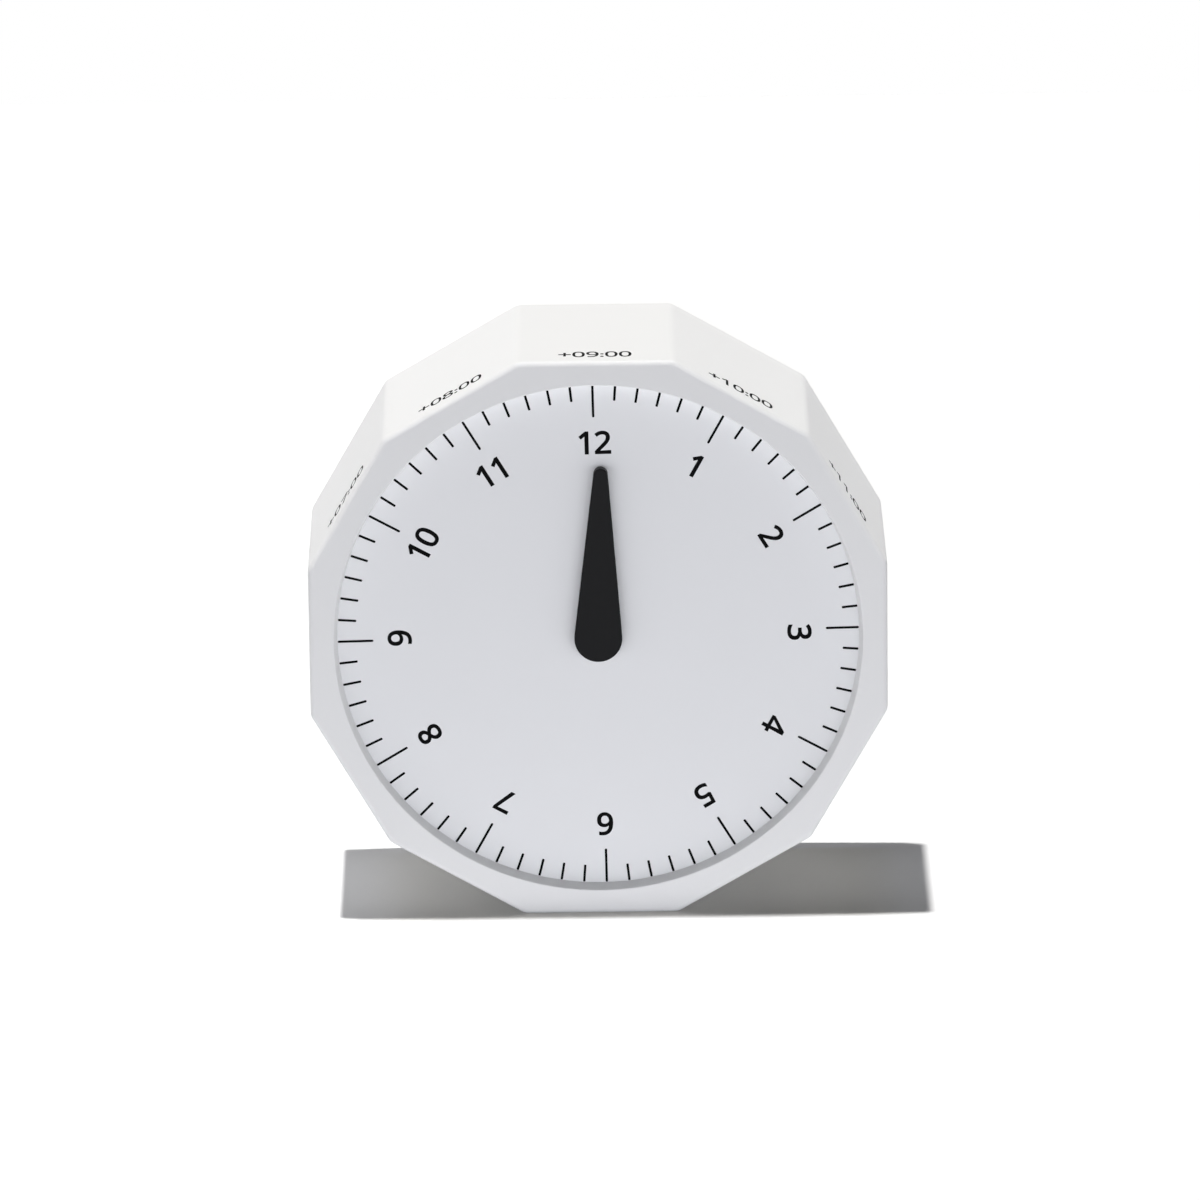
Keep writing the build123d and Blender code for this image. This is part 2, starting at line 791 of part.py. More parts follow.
def first_pinion():
    arbor = pivoted_arbor(first_arbor_radius, first_place)
    return arbor + pinion(first_turn, setting_module, 1, first_place)


def rotor_magnet():
    low = magnet_middle - magnet_height / 2
    return ring(magnet_radius, rotor_arbor_radius, low, low + magnet_height, rotor_place)


def rotor_pinion():
    arbor = pivoted_arbor(rotor_arbor_radius, rotor_place)
    return arbor + pinion(rotor_turn, first_module, 2, rotor_place)


def standing(shape):
    """Sets a piece upright, with the clock's middle over the origin and its lowest facet on the ground."""
    return Pos(0, depth / 2, apothem) * Rot(90, 0, 0) * shape


pieces = {
    "front_housing": front_housing(),
    "dial": dial(),
    "chassis_plate": chassis_plate(),
    "chassis_screws": chassis_screws(),
    "rear_cover": rear_cover(),
    "rear_cover_screws": rear_cover_screws(),
    "front_bearing_outer_ring": bearing_outer_ring(front_bearing_back),
    "rear_bearing_outer_ring": bearing_outer_ring(rear_bearing_back),
    "bearing_outer_spacer": bearing_outer_spacer(),
    "bearing_circlip": bearing_circlip(),
    "front_bearing_balls": bearing_balls(front_bearing_back),
    "rear_bearing_balls": bearing_balls(rear_bearing_back),
    "front_bearing_cage": bearing_cage(front_bearing_back),
    "rear_bearing_cage": bearing_cage(rear_bearing_back),
    "carriage_plate": carriage_plate(),
    "front_bearing_inner_ring": bearing_inner_ring(front_bearing_back),
    "rear_bearing_inner_ring": bearing_inner_ring(rear_bearing_back),
    "bearing_inner_spacer": bearing_inner_spacer(),
    "hub_nut": hub_nut(),
    "balance_weight": balance_weight(),
    "weight_screws": weight_screws(),
    "movement_base": movement_base(),
    "movement_cover": movement_cover(),
    "movement_screws": movement_screws(),
    "circuit_board": circuit_board(),
    "timing_chip": timing_chip(),
    "quartz_crystal": quartz_crystal(),
    "stator": stator(),
    "coil_core": coil_core(),
    "coil_bobbin": coil_bobbin(),
    "coil_winding": coil_winding(),
    "motor_screws": motor_screws(),
    "battery": battery(),
    "positive_contact": positive_contact(),
    "negative_contact": negative_contact(),
    "hour_hand": hour_hand(),
    "hour_arbor": hour_arbor(),
    "hour_wheel": hour_wheel(),
    "setting_arbor": setting_arbor(),
    "setting_wheel": setting_wheel(),
    "clutch_spring": clutch_spring(),
    "setting_knob": setting_knob(),
    "first_wheel": first_wheel(),
    "first_pinion": first_pinion(),
    "rotor_magnet": rotor_magnet(),
    "rotor_pinion": rotor_pinion(),
    "back_lid": back_lid(),
}

os.makedirs("parts", exist_ok=True)
for name, piece in pieces.items():
    solids = piece if isinstance(piece, list) else [piece]
    export_step(Compound([standing(solid) for solid in solids]), f"parts/{name}.step")
print(f"{len(pieces)} pieces, {across_flats:.1f} mm across the flats, {depth:.1f} mm deep")
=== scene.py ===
# %% [markdown]
# # A rolling world time clock
#
# The clock is a twelve-sided white case with a recessed dial and one black hour hand. It is rolled from
# facet to facet, and the facet that is on top names the time zone that the hand shows. The solid pieces
# come from the CAD model. This lesson adds what a modeller leaves to the picture: the printed dial, the
# numbers on the facets, small moulded marks, the finishes, and a studio like the one in the photograph.

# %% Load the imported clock
import json
from math import cos, radians, sin, tau

import bpy
from mathutils import Matrix, Vector


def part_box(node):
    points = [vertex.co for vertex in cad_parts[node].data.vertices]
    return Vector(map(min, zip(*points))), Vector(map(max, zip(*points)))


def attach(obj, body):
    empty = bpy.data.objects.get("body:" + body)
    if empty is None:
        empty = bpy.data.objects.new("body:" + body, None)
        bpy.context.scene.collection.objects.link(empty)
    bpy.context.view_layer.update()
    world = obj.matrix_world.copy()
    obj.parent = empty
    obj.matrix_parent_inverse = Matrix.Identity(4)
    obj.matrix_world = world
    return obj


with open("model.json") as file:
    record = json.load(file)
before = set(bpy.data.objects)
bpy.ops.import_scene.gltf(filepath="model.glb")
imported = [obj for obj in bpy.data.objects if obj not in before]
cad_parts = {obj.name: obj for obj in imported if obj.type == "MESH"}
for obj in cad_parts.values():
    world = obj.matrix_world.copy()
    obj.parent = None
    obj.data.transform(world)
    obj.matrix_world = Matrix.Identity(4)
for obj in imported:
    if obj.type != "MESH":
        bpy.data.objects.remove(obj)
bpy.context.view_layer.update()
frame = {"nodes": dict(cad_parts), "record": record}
print("pieces from the CAD model:", len(frame["nodes"]))

# %% [markdown]
# ## Measures
#
# Everything is in metres, and the clock stands on the ground with its dial towards -Y. Instead of typing
# places in again, the lesson reads them from the pieces: the bezel's front, the dial's face and the
# height of the axis that the hand turns on.

# %% Read the measures from the pieces
mm = 0.001
case_low, case_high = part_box("front_housing")
bezel_front = case_low.y
axis_height = (case_low.z + case_high.z) / 2
facet_distance = (case_high.z - case_low.z) / 2
dial_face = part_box("dial")[0].y
cover_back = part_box("movement_cover")[1].y
print(f"axis {axis_height / mm:.1f} mm up, dial {(dial_face - bezel_front) / mm:.1f} mm behind the bezel")

# %% [markdown]
# ## Small helpers for working by hand
#
# Operators act on whatever is selected, so each step starts with nothing selected. A finished piece keeps
# its object at the origin and its place in its mesh, which keeps patterns where they belong. That is why
# every piece is moved by a matrix that is applied straight away.


# %% Helpers for selecting, placing and joining
def nothing_selected():
    if bpy.context.object and bpy.context.object.mode != "OBJECT":
        bpy.ops.object.mode_set(mode="OBJECT")
    bpy.ops.object.select_all(action="DESELECT")


def pick(piece):
    nothing_selected()
    piece.select_set(True)
    bpy.context.view_layer.objects.active = piece
    return piece


def put(piece, matrix):
    """Moves a piece and writes its place into the mesh."""
    pick(piece).matrix_world = matrix
    bpy.ops.object.transform_apply(location=True, rotation=True, scale=True)
    return piece


def copy_of(piece):
    """A copy with a mesh of its own."""
    pick(piece)
    bpy.ops.object.duplicate(linked=False)
    return bpy.context.object


def joined(pieces, name):
    nothing_selected()
    for piece in pieces:
        piece.select_set(True)
    bpy.context.view_layer.objects.active = pieces[0]
    bpy.ops.object.join()
    whole = bpy.context.object
    whole.name = name
    whole.data.name = name
    print(name, "has", len(whole.data.polygons), "faces")
    return whole


# %% [markdown]
# ## Where print goes
#
# Flat print is drawn lying on the ground, facing up, and then carried to its place. On the dial it is
# tipped up to face the front, moved out to its radius and turned clockwise. The dial's print isn't quite
# true to the case: in the photograph it sits a hair too high, to the right and anticlockwise. On a facet
# the print stays flat, is lifted to the top facet and rolled round the clock's axis. Angles are in degrees.


# %% Matrices from the drawing board to the dial and the facets
print_right = 0.25 * mm
print_up = 0.17 * mm
print_turn = -0.95


def on_dial(clockwise, radius):
    middle = Matrix.Translation((print_right, dial_face, axis_height + print_up))
    turn = Matrix.Rotation(radians(clockwise + print_turn), 4, "Y")
    tip = Matrix.Rotation(radians(90), 4, "X")
    return middle @ turn @ tip @ Matrix.Translation((0, radius, 0))


def on_facet(clockwise, behind_front):
    turn = Matrix.Rotation(radians(clockwise), 4, "Y")
    lift = Matrix.Translation((0, bezel_front + behind_front, facet_distance))
    return Matrix.Translation((0, 0, axis_height)) @ turn @ lift


def on_movement(x, z):
    """On the back of the movement, facing the back: x and z are measured in the standing clock."""
    face = Matrix.Rotation(radians(180), 4, "Z") @ Matrix.Rotation(radians(90), 4, "X")
    return Matrix.Translation((x, cover_back, z)) @ face


# %% [markdown]
# ## Ticks
#
# The dial has a long tick at each hour and five short ones between: ten minutes each. They are silk-screen
# print, a film of ink with soft corners. A plane is given its size, its corners are bevelled, and it is
# extruded by the thickness of the film. One tick is made, copied round the dial, and each copy is drawn out
# to run from its own circle to the wall of the recess.

# %% Model one bar of ink
ink_film = 0.02 * mm
corner_share = 0.3
corner_steps = 2


def ink_bar(width, length, height=ink_film):
    nothing_selected()
    bpy.ops.mesh.primitive_plane_add(size=1)
    bar = bpy.context.object
    bar.scale = (width, length, 1)
    bpy.ops.object.transform_apply(location=True, rotation=True, scale=True)
    bpy.ops.object.mode_set(mode="EDIT")
    bpy.ops.mesh.select_all(action="SELECT")
    corner = corner_share * min(width, length)
    bpy.ops.mesh.bevel(offset=corner, segments=corner_steps, affect="VERTICES")
    bpy.ops.mesh.select_all(action="SELECT")
    bpy.ops.mesh.extrude_region_move(TRANSFORM_OT_translate={"value": (0, 0, height)})
    bpy.ops.mesh.select_all(action="SELECT")
    bpy.ops.mesh.normals_make_consistent(inside=False)
    bpy.ops.object.mode_set(mode="OBJECT")
    return bar


# %% Copy the ticks round the dial
hours = 12
hour_angle = 360 / hours
ticks_per_hour = 6
tick_angle = hour_angle / ticks_per_hour
tick_width = 0.46 * mm
wall_reach = 49.61 * mm
hour_foot = 43.07 * mm
short_foot = 46.38 * mm

tick_length = wall_reach - short_foot
tick = ink_bar(tick_width, tick_length)
ticks = []
for step in range(hours * ticks_per_hour):
    angle = radians(step * tick_angle + print_turn)
    foot = hour_foot if step % ticks_per_hour == 0 else short_foot
    head = wall_reach - print_right * sin(angle) - print_up * cos(angle)
    drawn_out = Matrix.Diagonal((1, (head - foot) / tick_length, 1, 1))
    ticks.append(put(copy_of(tick), on_dial(step * tick_angle, (head + foot) / 2) @ drawn_out))
bpy.data.objects.remove(tick)
dial_ticks = joined(ticks, "dial_ticks")

# %% [markdown]
# ## Numerals and facet numbers
#
# The hour numerals stand with their heads outwards, so that the hour under the hand reads upright when
# the clock is rolled. Each facet carries the hours that its zone is ahead of universal time. Both are
# drawn with text objects, made a mesh, and scaled by measuring: the height of a figure is known from the
# photograph, and the size of a font is not. The figures have open, even strokes, as the sans-serif
# figures among the mathematical letters have, so each digit is taken from there. Their strokes are a bit
# too thin, so a word is extruded into a tall block, fattened, and pressed down to a film.

# %% Measure a figure of the font
sans_serif_zero = 0x1D7E2


def figures(words):
    return "".join(chr(sans_serif_zero + int(sign)) if sign.isdigit() else sign for sign in words)


nothing_selected()
bpy.ops.object.text_add()
bpy.context.object.data.body = figures("1")
bpy.ops.object.convert(target="MESH")
sample = bpy.context.object
levels = [vertex.co.y for vertex in sample.data.vertices]
figure_height = max(levels) - min(levels)
bpy.data.objects.remove(sample)
print(f"a figure of the font is {figure_height:.3f} high")

# %% Draw a line of print
block_height = 10.0
curve_steps = 5
merge_distance = 0.0005


def printed(words, height, weight, spacing):
    """Words as a film of ink, their feet on the x axis and their middle over the origin."""
    nothing_selected()
    bpy.ops.object.text_add()
    text = bpy.context.object
    text.data.body = figures(words)
    text.data.align_x = "CENTER"
    text.data.space_character = spacing
    text.data.resolution_u = curve_steps
    bpy.ops.object.convert(target="MESH")
    text = bpy.context.object
    bpy.ops.object.mode_set(mode="EDIT")
    bpy.ops.mesh.select_all(action="SELECT")
    bpy.ops.mesh.remove_doubles(threshold=merge_distance)
    bpy.ops.mesh.select_all(action="SELECT")
    bpy.ops.mesh.extrude_region_move(TRANSFORM_OT_translate={"value": (0, 0, block_height)})
    bpy.ops.mesh.select_all(action="SELECT")
    bpy.ops.mesh.normals_make_consistent(inside=False)
    bpy.ops.transform.shrink_fatten(value=weight, use_even_offset=True)
    bpy.ops.object.mode_set(mode="OBJECT")
    sideways = [vertex.co.x for vertex in text.data.vertices]
    scale = height / (figure_height + 2 * weight)
    shift = Matrix.Translation((-(min(sideways) + max(sideways)) / 2 * scale, weight * scale, 0))
    return put(text, shift @ Matrix.Diagonal((scale, scale, ink_film / block_height, 1)))


# %% [markdown]
# Weights are in the font's own units, as the text is fattened before it is scaled. Eight of the numerals
# stand a little aside of their hour in the photograph, by the millimetres that the list gives.

# %% Put the hour numerals on the dial
numeral_height = 4.53 * mm
numeral_radius = 38.05 * mm
numeral_weight = 0.0225
numeral_spacing = 0.945
numeral_aside = {1: -0.25, 2: 0.45, 3: 0.65, 4: 0.2, 5: -0.1, 9: 0.4, 11: -0.65, 12: 0.15}

numerals = []
for hour in range(1, hours + 1):
    numeral = printed(str(hour), numeral_height, numeral_weight, numeral_spacing)
    place = Matrix.Translation((numeral_aside.get(hour, 0) * mm, -numeral_height / 2, 0))
    numerals.append(put(numeral, on_dial(hour * hour_angle, numeral_radius) @ place))
dial_numerals = joined(numerals, "dial_numerals")

# %% Put the zone numbers on the facets
zone_height = 3.5 * mm
zone_feet = 3.3 * mm
zone_weight = 0.0115
zone_spacing = 0.96
top_zone = 9

zones = []
for facet in range(hours):
    words = f"+{(top_zone + facet) % hours:02d}:00"
    zone = printed(words, zone_height, zone_weight, zone_spacing)
    zones.append(put(zone, on_facet(facet * hour_angle, zone_feet)))
facet_numbers = joined(zones, "facet_numbers")

# %% [markdown]
# ## Moulded marks on the movement
#
# With the lid off, the back of the movement shows. Its cover has the signs that such covers have, raised
# from the plastic: a plus and a minus beside the cell, and a curved arrow round the setting knob. The arrow
# is a short bar spun round the knob's middle, with a head made from a three-sided disc.

# %% Raise the plus and the minus
mark_relief = 0.2 * mm
sign_aside = 19.0 * mm
sign_lift = 3.6 * mm
sign_width = 0.7 * mm
sign_length = 3.2 * mm

cell_low, cell_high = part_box("battery")
sign_height = cell_high.z + sign_lift
signs = []
for x, turns in ((sign_aside, (0, 90)), (-sign_aside, (90,))):
    for turn in turns:
        bar = ink_bar(sign_width, sign_length, mark_relief)
        signs.append(put(bar, on_movement(x, sign_height) @ Matrix.Rotation(radians(turn), 4, "Z")))
polarity_marks = joined(signs, "polarity_marks")

# %% Spin the arrow's bar
arrow_radius = 7.2 * mm
arrow_width = 0.8 * mm
arrow_sweep = radians(210)
arrow_steps = 32
arrow_merge = 0.01 * mm

bar_middle = Vector((arrow_radius, 0, mark_relief / 2))
nothing_selected()
bpy.ops.mesh.primitive_plane_add(size=1)
arrow = bpy.context.object
arrow.matrix_world = Matrix.Translation(bar_middle) @ Matrix.Diagonal((arrow_width, mark_relief, 1, 1))
bpy.ops.object.transform_apply(location=True, rotation=True, scale=True)
bpy.ops.object.mode_set(mode="EDIT")
bpy.ops.mesh.select_all(action="SELECT")
bpy.ops.transform.rotate(value=radians(90), orient_axis="X", center_override=bar_middle)
bpy.ops.mesh.spin(steps=arrow_steps, angle=arrow_sweep, center=(0, 0, 0), axis=(0, 0, 1))
bpy.ops.mesh.select_all(action="SELECT")
bpy.ops.mesh.remove_doubles(threshold=arrow_merge)
bpy.ops.mesh.normals_make_consistent(inside=False)
bpy.ops.object.mode_set(mode="OBJECT")
print("the arrow's bar has", len(arrow.data.polygons), "faces")

# %% Add the arrow's head and put it round the knob
arrow_head_radius = 1.4 * mm
arrow_head_back = 0.4 * mm
arrow_start = -15

knob_low, knob_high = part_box("setting_knob")
knob_x = (knob_low.x + knob_high.x) / 2
knob_z = (knob_low.z + knob_high.z) / 2
bpy.ops.mesh.primitive_cylinder_add(vertices=3, radius=arrow_head_radius, depth=mark_relief)
arrow_head = bpy.context.object
head_place = Matrix.Translation((arrow_radius, -arrow_head_back, mark_relief / 2))
put(arrow_head, head_place @ Matrix.Rotation(radians(180), 4, "Z"))
setting_arrow = joined([arrow, arrow_head], "setting_arrow")
put(setting_arrow, on_movement(knob_x, knob_z) @ Matrix.Rotation(radians(arrow_start), 4, "Z"))

# %% [markdown]
# ## Writing shader maths as sums
#
# A finish is a small graph of nodes. A wire stands for one output of a node, and wires can be added,
# multiplied and compared like numbers: each sign adds a Math node. Every other node comes from one method,
# which sets the node up first and then fills or links its sockets.


# %% Wires
class Wire:
    """One output of a node."""

    def __init__(self, graph, socket):
        self.graph = graph
        self.socket = socket

    def sum(self, sign, first, second):
        return self.graph.node("ShaderNodeMath", {"operation": sign}, {0: first, 1: second})

    def __add__(self, other):
        return self.sum("ADD", self, other)

    def __radd__(self, other):
        return self.sum("ADD", other, self)

    def __sub__(self, other):
        return self.sum("SUBTRACT", self, other)

    def __rsub__(self, other):
        return self.sum("SUBTRACT", other, self)

    def __mul__(self, other):
        return self.sum("MULTIPLY", self, other)

    def __rmul__(self, other):
        return self.sum("MULTIPLY", other, self)

    def __gt__(self, other):
        return self.sum("GREATER_THAN", self, other)

    def __lt__(self, other):
        return self.sum("LESS_THAN", self, other)


# %% Graphs
class Graph:
    """The nodes of a finish, or of the world."""

    def __init__(self, owner):
        owner.use_nodes = True
        self.tree = owner.node_tree
        self.tree.nodes.clear()

    def node(self, kind, settings=None, values=None, output=0):
        made = self.tree.nodes.new(kind)
        for name, value in (settings or {}).items():
            setattr(made, name, value)
        for name, value in (values or {}).items():
            if isinstance(value, Wire):
                self.tree.links.new(value.socket, made.inputs[name])
            else:
                made.inputs[name].default_value = value
        return Wire(self, made.outputs[output]) if len(made.outputs) else None

    def place(self):
        return self.node("ShaderNodeTexCoord", output="Object")

    def part(self, vector, axis):
        """One coordinate of a vector."""
        return self.node("ShaderNodeSeparateXYZ", {}, {0: vector}, axis)

    def noise(self, size, stretch=(1, 1, 1), detail=2.0):
        """Soft random spots of about that size in metres, drawn out along an axis by its stretch."""
        shrink = [1 / (size * factor) for factor in stretch]
        spots = self.node("ShaderNodeMapping", {}, {"Vector": self.place(), "Scale": shrink})
        return self.node("ShaderNodeTexNoise", {}, {"Vector": spots, "Scale": 1.0, "Detail": detail})

    def blend(self, amount, first, second):
        """A colour between two others."""
        return self.node("ShaderNodeMix", {"data_type": "RGBA"}, {0: amount, 6: first, 7: second}, 2)

    def fall(self, value, start, end):
        """One up to the start, none from the end on, and a soft slope between."""
        slope = {0: value, 1: start, 2: end, 3: 1.0, 4: 0.0}
        return self.node("ShaderNodeMapRange", {"interpolation_type": "SMOOTHSTEP"}, slope)

    def bump(self, height, depth):
        return self.node("ShaderNodeBump", {}, {"Height": height, "Distance": depth, "Strength": 1.0})


# %% Finishes
def shade(colour, factor):
    return (colour[0] * factor, colour[1] * factor, colour[2] * factor, 1)


def finish(name, build):
    """A material whose surface is made by build, which returns the shader's values."""
    material = bpy.data.materials.new(name)
    graph = Graph(material)
    surface = graph.node("ShaderNodeBsdfPrincipled", {}, build(graph))
    graph.node("ShaderNodeOutputMaterial", {}, {"Surface": surface})
    print("finish:", name)
    return material


# %% [markdown]
# ## Moulded plastic
#
# Moulded plastic is hardly ever one flat colour. The tool is spark-eroded, which leaves a fine grain that
# spreads the shine, and the resin has a trace of cloudiness. A fine noise gives the grain as bump and
# roughness, and a broad one the clouds. The same recipe makes every plastic here, with its own colour,
# shine and size of grain. Ink is a thin plastic too, so the print takes the recipe with hardly any shine.

# %% A recipe for moulded plastic
cloud_size = 14 * mm
cloud_detail = 3.0
cloud_tint, grain_tint = 1.2, 0.3
grain_shine, cloud_shine = 0.12, 0.06


def moulded(name, colour, roughness, grain=0.25 * mm, relief=0.004 * mm, clouds=0.02, specular=0.5):
    def build(graph):
        fine = graph.noise(grain)
        broad = graph.noise(cloud_size, detail=cloud_detail)
        amount = 0.5 + (broad - 0.5) * cloud_tint + (fine - 0.5) * grain_tint
        return {
            "Base Color": graph.blend(amount, shade(colour, 1 - clouds), shade(colour, 1 + clouds)),
            "Roughness": roughness + (fine - 0.5) * grain_shine + (broad - 0.5) * cloud_shine,
            "Specular IOR Level": specular,
            "Normal": graph.bump(fine, relief),
        }

    return finish(name, build)


# %% The plastics that show from outside
case_white = moulded("case white", (0.885, 0.885, 0.88), 0.55, clouds=0.006, specular=0.35)
dial_white = moulded("dial white", (0.895, 0.9, 0.908), 0.62, grain=0.12 * mm, relief=0.002 * mm,
                     clouds=0.006, specular=0.3)
hand_black = moulded("hand black", (0.0028, 0.003, 0.0036), 0.5, grain=0.2 * mm, clouds=0.1, specular=0.155)
print_ink = moulded("print ink", (0.002, 0.002, 0.0022), 0.7, grain=0.1 * mm, relief=0.002 * mm,
                    clouds=0.15, specular=0.06)

# %% The plastics inside
chassis_grey = moulded("chassis grey", (0.23, 0.235, 0.25), 0.55, clouds=0.04)
carriage_grey = moulded("carriage grey", (0.42, 0.43, 0.44), 0.5, clouds=0.04)
movement_black = moulded("movement black", (0.018, 0.018, 0.02), 0.5, grain=0.35 * mm, relief=0.008 * mm,
                         clouds=0.1)
knob_red = moulded("knob red", (0.52, 0.03, 0.022), 0.35, grain=0.3 * mm, clouds=0.05)
wheel_ivory = moulded("wheel ivory", (0.72, 0.70, 0.62), 0.35, grain=0.3 * mm, clouds=0.04)
cage_amber = moulded("cage amber", (0.62, 0.48, 0.26), 0.4, clouds=0.06)
resin_black = moulded("resin black", (0.012, 0.012, 0.013), 0.22, grain=0.6 * mm, clouds=0.1)

# %% [markdown]
# ## Metals
#
# Steel parts are ground, turned or stamped, and each way leaves fine lines. A noise drawn out along the
# direction of the tool gives them. Cast iron has a coarser, rounder skin instead.

# %% A recipe for worked metal
patch_size = 5 * mm
line_detail = 3.0
line_tint, patch_tint = 0.9, 0.6
line_shine, patch_shine = 0.2, 0.1
metal_dark, metal_light = 0.88, 1.08


def worked_metal(name, colour, roughness, lines=(1, 1, 1), size=0.08 * mm, relief=0.003 * mm, metallic=1.0):
    def build(graph):
        fine = graph.noise(size, lines, detail=line_detail)
        broad = graph.noise(patch_size)
        amount = 0.5 + (fine - 0.5) * line_tint + (broad - 0.5) * patch_tint
        return {
            "Base Color": graph.blend(amount, shade(colour, metal_dark), shade(colour, metal_light)),
            "Metallic": metallic,
            "Roughness": roughness + (fine - 0.5) * line_shine + (broad - 0.5) * patch_shine,
            "Normal": graph.bump(fine, relief),
        }

    return finish(name, build)


# %% The metals
bearing_steel = worked_metal("bearing steel", (0.62, 0.62, 0.63), 0.2, lines=(1, 6, 1), relief=0.001 * mm)
screw_steel = worked_metal("screw steel", (0.50, 0.50, 0.51), 0.35, lines=(1, 3, 1))
spring_steel = worked_metal("spring steel", (0.42, 0.43, 0.45), 0.38, lines=(8, 1, 1))
nut_brass = worked_metal("nut brass", (0.66, 0.44, 0.16), 0.32, lines=(1, 6, 1))
motor_steel = worked_metal("motor steel", (0.36, 0.36, 0.37), 0.42, lines=(1, 1, 8))
crystal_can = worked_metal("crystal can", (0.66, 0.66, 0.67), 0.22, lines=(8, 1, 1))
cast_iron = worked_metal("cast iron", (0.11, 0.11, 0.115), 0.6, size=0.5 * mm, relief=0.03 * mm,
                         metallic=0.6)
magnet_grey = worked_metal("magnet grey", (0.06, 0.06, 0.065), 0.55, size=0.3 * mm, relief=0.01 * mm,
                           metallic=0.4)

# %% [markdown]
# ## Copper wire, circuit board and cell
#
# Three pieces have a pattern of their own. The winding shows its turns as fine ridges across the coil. The
# board has copper tracks under green lacquer. The cell has a printed jacket, with a band at its button end
# and bare metal at both ends. Each pattern is worked out from the place on the piece.

# %% Copper winding
wire_pitch = 0.16 * mm


def build_winding(graph):
    along = graph.part(graph.place(), "Z")
    turns = graph.node("ShaderNodeMath", {"operation": "SINE"}, {0: along * (tau / wire_pitch)})
    uneven = graph.noise(0.6 * mm, (3, 3, 1))
    amount = 0.5 + turns * 0.3 + (uneven - 0.5) * 0.5
    return {
        "Base Color": graph.blend(amount, (0.30, 0.10, 0.035, 1), (0.66, 0.28, 0.11, 1)),
        "Metallic": 0.9,
        "Roughness": 0.32 + (uneven - 0.5) * 0.2,
        "Normal": graph.bump(turns, 0.02 * mm),
    }


winding_copper = finish("winding copper", build_winding)

# %% Circuit board
track_pitch = 2.4 * mm


def build_board(graph):
    upright = graph.node("ShaderNodeMapping", {}, {"Vector": graph.place(), "Rotation": (radians(90), 0, 0)})
    tracks = graph.node("ShaderNodeTexBrick", {"offset": 0.35}, {
        "Vector": upright, "Scale": 1 / track_pitch,
        "Mortar Size": 0.06, "Brick Width": 1.2, "Row Height": 0.5}, "Fac")
    weave = graph.noise(0.2 * mm)
    return {
        "Base Color": graph.blend(tracks, (0.012, 0.105, 0.045, 1), (0.05, 0.24, 0.09, 1)),
        "Roughness": 0.35 + (weave - 0.5) * 0.15,
        "Normal": graph.bump(tracks, 0.02 * mm),
    }


board_green = finish("board green", build_board)

# %% Cell
button_length = 1.2 * mm
bare_edge = 0.9 * mm
band_length = 13 * mm


def build_cell(graph):
    along = graph.part(graph.place(), "X")
    button_end = cell_high.x - button_length
    bare = (along > button_end - bare_edge) + (along < cell_low.x + bare_edge)
    band = along > button_end - band_length
    wrinkle = graph.noise(1.2 * mm, (4, 1, 1))
    jacket = graph.blend(band, (0.030, 0.034, 0.040, 1), (0.50, 0.27, 0.08, 1))
    return {
        "Base Color": graph.blend(bare, jacket, (0.60, 0.60, 0.61, 1)),
        "Metallic": 0.35 + bare * 0.65,
        "Roughness": 0.28 + bare * 0.08 + (wrinkle - 0.5) * 0.1,
        "Normal": graph.bump(wrinkle, 0.006 * mm),
    }


cell_jacket = finish("cell jacket", build_cell)

# %% [markdown]
# ## Give every piece its finish
#
# A CAD piece keeps its mesh and takes the finish in its material slots. New pieces also say which body
# they ride on, so that they move with it, and which of the record's slots they are painted from.


# %% Give the CAD pieces their finishes
def coat(piece, material):
    piece.data.materials.clear()
    piece.data.materials.append(material)


finishes = {
    "case_plastic": case_white,
    "dial_plastic": dial_white,
    "hand_plastic": hand_black,
    "chassis_plastic": chassis_grey,
    "carriage_plastic": carriage_grey,
    "movement_plastic": movement_black,
    "knob_plastic": knob_red,
    "gear_plastic": wheel_ivory,
    "cage_plastic": cage_amber,
    "bearing_steel": bearing_steel,
    "screw_steel": screw_steel,
    "spring_steel": spring_steel,
    "nut_brass": nut_brass,
    "weight_iron": cast_iron,
    "board_laminate": board_green,
    "chip_resin": resin_black,
    "crystal_can": crystal_can,
    "motor_steel": motor_steel,
    "winding_copper": winding_copper,
    "magnet": magnet_grey,
    "cell_jacket": cell_jacket,
}
for subpart in frame["record"]["subparts"]:
    coat(frame["nodes"][subpart["node"]], finishes[subpart["material_slot"]])

# %% Give the new pieces their finishes and bodies
new_pieces = (
    (dial_ticks, "case", "hand_plastic", print_ink),
    (dial_numerals, "case", "hand_plastic", print_ink),
    (facet_numbers, "case", "hand_plastic", print_ink),
    (polarity_marks, "carriage", "movement_plastic", movement_black),
    (setting_arrow, "carriage", "movement_plastic", movement_black),
)
for piece, body, slot, material in new_pieces:
    coat(piece, material)
    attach(piece, body)
print("finished", len(new_pieces), "new pieces")

# %% [markdown]
# ## The floor
#
# The photograph has one small, high light almost straight above, which whitens the top facets and throws
# a clean rectangle of shadow on the floor. The dial gets no direct light: it is lit by the floor in front
# of it and by a pale room. The floor is white paper to the camera, and light grey to the light that bounces
# off it, because a white one would fill the shadow with light. A trace of glow, which the camera alone sees,
# brings the paper up to the white of the background. Where the clock's shadow lies the glow is taken away,
# which paints the shadow darker, except towards the left, where the photographed shadow is lighter and a
# stronger glow paints it lighter. Inside the shadow the paper takes a warmer grey, a painted tint of shade.

# %% Paper for the floor
# Where the clock's shadow lies on the floor: inside it the glow is taken away, a painted shadow.
shadow_x, shadow_y = 7 * mm, -3 * mm
core_x, core_y = 40 * mm, 18 * mm
rim_x, rim_y = 58 * mm, 22 * mm
paper_glow = 0.047
